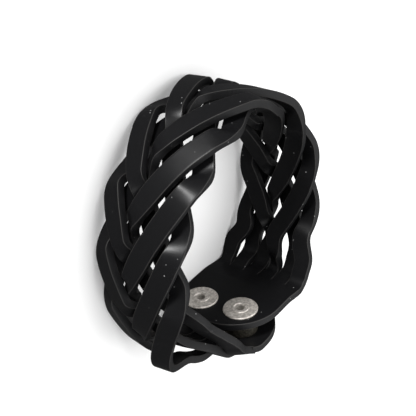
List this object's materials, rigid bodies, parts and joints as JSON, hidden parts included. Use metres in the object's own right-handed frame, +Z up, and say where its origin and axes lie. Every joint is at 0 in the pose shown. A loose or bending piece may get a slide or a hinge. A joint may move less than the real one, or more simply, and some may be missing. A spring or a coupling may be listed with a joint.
{
  "type": "braided silicone bracelet",
  "caption": "Wide bracelet braided from one slit sheet of soft black silicone, closed by metal press-studs on its overlapping round-ended tabs.",
  "frame": {"origin": "on the surface the bracelet lies on, below the middle of its bounding box", "axes": "+Z up along the middle of the ring, +Y from the middle towards the press-studs at the back, +X to the right"},
  "size_m": [0.0716, 0.0739, 0.0293],
  "materials": {
    "silicone": "satin",
    "nickel": "satin"
  },
  "bodies": {
    "root": {"strap": "silicone", "eyelet_left": "nickel", "eyelet_right": "nickel", "stud_left": "nickel", "stud_right": "nickel", "socket_left": "nickel", "socket_right": "nickel", "cap_left": "nickel", "cap_right": "nickel"}
  },
  "joints": []
}
